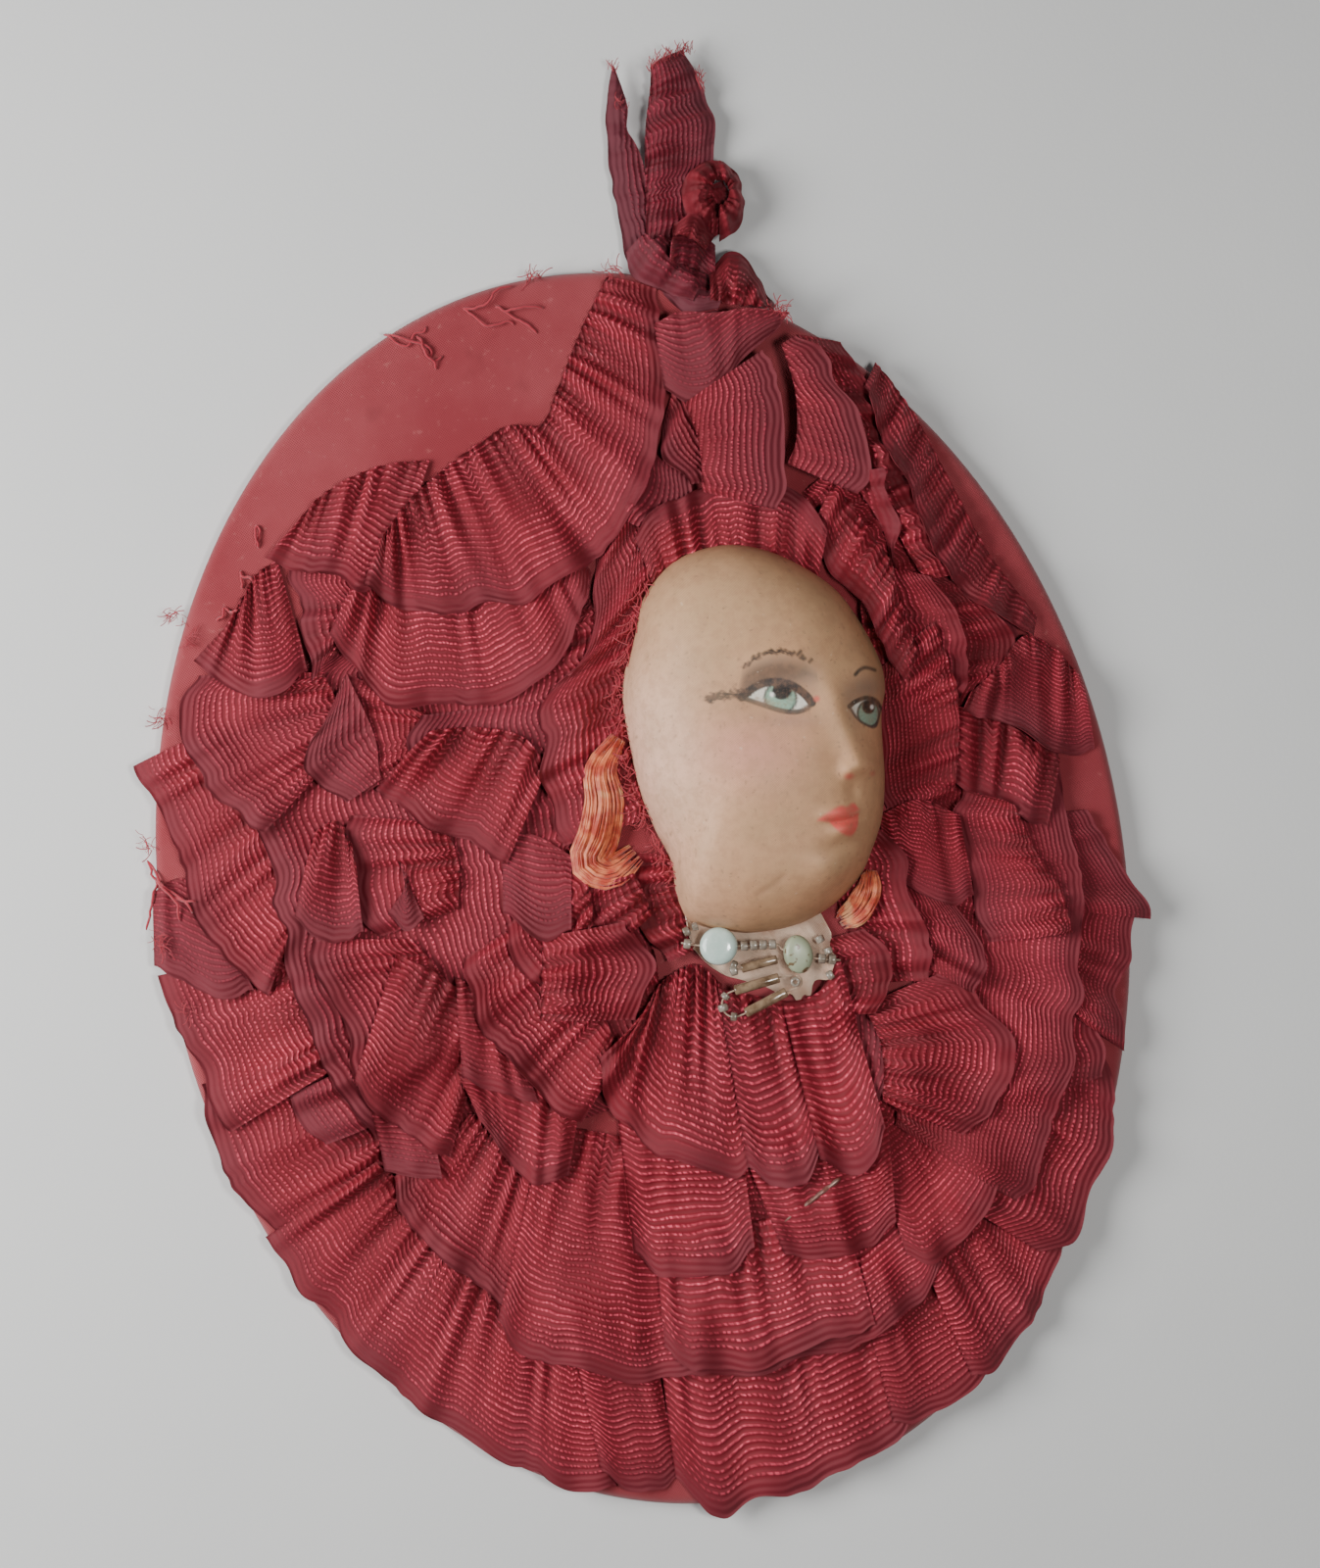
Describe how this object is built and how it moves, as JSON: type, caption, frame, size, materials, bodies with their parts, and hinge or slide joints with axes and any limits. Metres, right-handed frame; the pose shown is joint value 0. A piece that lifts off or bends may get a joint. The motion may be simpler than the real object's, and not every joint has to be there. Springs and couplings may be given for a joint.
{
  "type": "ribbon wall plaque with a doll's mask",
  "caption": "Oval wall plaque of card covered in red cotton, with rows of gathered ribbon round a painted cloth doll's mask, a bead necklace and a knotted hanging ribbon.",
  "frame": {"origin": "middle of the oval's flat back, on the paper lining; the plaque lies face up", "axes": "+X to the right as the face is looked at, +Y up the oval towards the hanging knot, +Z out of the face"},
  "size_m": [0.2122, 0.3149, 0.0317],
  "materials": {
    "paper": "brown paper lining, matt, foxed",
    "card": "grey-brown pasteboard, matt",
    "red_cotton": "faded brick-red plain-weave cotton, matt",
    "ribbon": "figured ribbon, dark red ground with rows of bright floats, satin sheen",
    "painted_cloth": "pressed cloth painted and varnished in flesh tones, yellowed",
    "wadding": "loose cotton wadding",
    "neck_cloth": "fine flesh-coloured cloth, matt",
    "satin_yarn": "orange-red satin yarn",
    "thread": "waxed cotton thread",
    "clear_glass": "clear seed bead",
    "aqua_glass": "milky pale aqua pressed glass",
    "brown_glass": "clear tube bead with a brown lining",
    "pin_steel": "dull rust-stained steel"
  },
  "bodies": {
    "plaque": {"back_lining": "paper", "base_card": "card", "card_cover": "red_cotton", "outer_ruffle_left": "ribbon", "outer_ruffle_lower_left": "ribbon", "outer_ruffle_bottom": "ribbon", "outer_ruffle_lower_right": "ribbon", "outer_ruffle_right": "ribbon", "second_ruffle_upper_left": "ribbon", "second_ruffle_left": "ribbon", "second_ruffle_lower_left": "ribbon", "second_ruffle_bottom": "ribbon", "second_ruffle_lower_right": "ribbon", "second_ruffle_right": "ribbon", "second_ruffle_upper_right": "ribbon", "third_ruffle_left": "ribbon", "third_ruffle_lower_left": "ribbon", "third_ruffle_bottom": "ribbon", "third_ruffle_lower_right": "ribbon", "third_ruffle_right": "ribbon", "face_frill_top": "ribbon", "face_frill_left": "ribbon", "bib_left": "ribbon", "bib_pleat": "ribbon", "bib_right": "ribbon", "face_frill_right": "ribbon", "crown_ribbon_lower": "ribbon", "crown_ribbon": "ribbon", "bow_band": "ribbon", "knot": "ribbon", "knot_side_loop": "ribbon", "face_mask": "painted_cloth", "face_wadding": "wadding", "neck_cloth": "neck_cloth", "hair_left": "satin_yarn", "hair_right": "satin_yarn", "necklace_thread": "thread", "lower_thread": "thread", "bead_left_end": "clear_glass", "bead_middle_1": "clear_glass", "bead_middle_2": "clear_glass", "bead_middle_3": "clear_glass", "bead_middle_4": "clear_glass", "bead_right_1": "clear_glass", "bead_right_2": "clear_glass", "bead_lower": "clear_glass", "drop_post": "clear_glass", "flat_bead_left": "aqua_glass", "flat_bead_right": "aqua_glass", "amber_bugle": "brown_glass"},
    "topknot_tails": {"tail_thin": "ribbon", "tail_wide": "ribbon", "tail_curl": "ribbon"},
    "left_bow_tail": {"bow_tail_left": "ribbon"},
    "right_bow_tail": {"bow_tail_right": "ribbon"},
    "bead_drop": {"drop_thread": "thread", "drop_bugle_upper": "brown_glass", "drop_bugle_lower": "brown_glass", "drop_bead": "clear_glass"},
    "pin": {"loose_pin": "pin_steel"}
  },
  "joints": [
    {"name": "topknot_fold", "type": "hinge", "parent": "plaque", "child": "topknot_tails", "pos_m": [0.032, 0.1336, 0.0105], "axis": [1, 0, 0], "range_deg": [0, 110]},
    {"name": "bow_tail_left_lift", "type": "hinge", "parent": "plaque", "child": "left_bow_tail", "pos_m": [0.0394, 0.1038, 0.0152], "axis": [-0.8908, -0.4544, 0], "range_deg": [0, 75]},
    {"name": "bow_tail_right_lift", "type": "hinge", "parent": "plaque", "child": "right_bow_tail", "pos_m": [0.0528, 0.1105, 0.0152], "axis": [-0.8908, -0.4544, 0], "range_deg": [0, 75]},
    {"name": "drop_swing", "type": "hinge", "parent": "plaque", "child": "bead_drop", "pos_m": [0.0286, -0.0256, 0.0121], "axis": [0, 0, 1], "range_deg": [0, 75]},
    {"name": "pin_draw", "type": "slide", "parent": "plaque", "child": "pin", "axis": [-0.8909, -0.4505, 0.0574], "range_m": [0, 0.018]}
  ]
}
